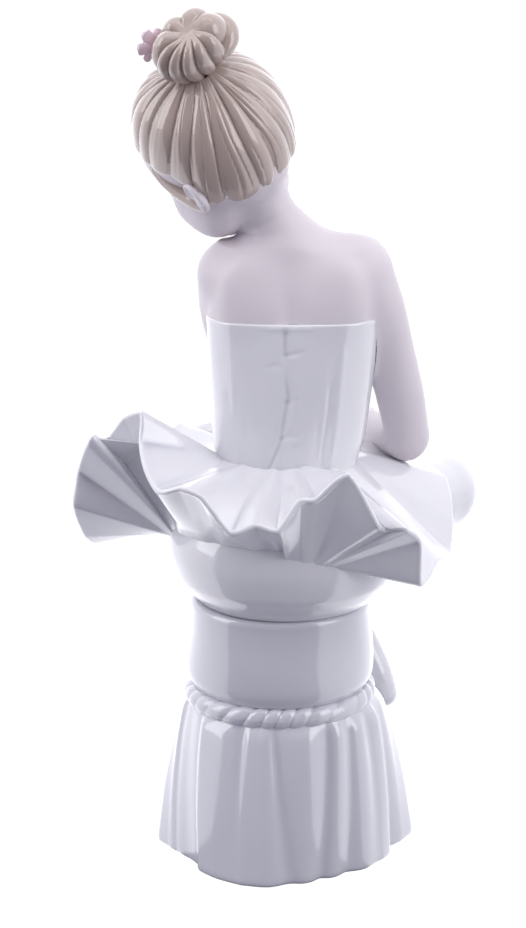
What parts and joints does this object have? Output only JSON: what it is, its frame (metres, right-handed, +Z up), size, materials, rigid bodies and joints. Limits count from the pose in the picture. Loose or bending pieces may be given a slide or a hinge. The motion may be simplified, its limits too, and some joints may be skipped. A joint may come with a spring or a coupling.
{
  "type": "ballerina figurine",
  "caption": "Glazed porcelain figurine of a young ballerina seated on a draped round stool, bending over her raised foot.",
  "frame": {"origin": "middle of the stool's flat underside, where it stands on a table", "axes": "+Z up through the girl; +Y is the way she faces; +X is her right-hand side"},
  "size_m": [0.1356, 0.137, 0.2797],
  "materials": {
    "white_glaze": "glossy white porcelain glaze",
    "skin_bisque": "satin unglazed porcelain, painted in pale skin colour",
    "hair_glaze": "glossy underglaze brown",
    "flower_glaze": "glossy pink underglaze"
  },
  "bodies": {
    "root": {"ballerina_figurine": "white_glaze"}
  },
  "joints": []
}
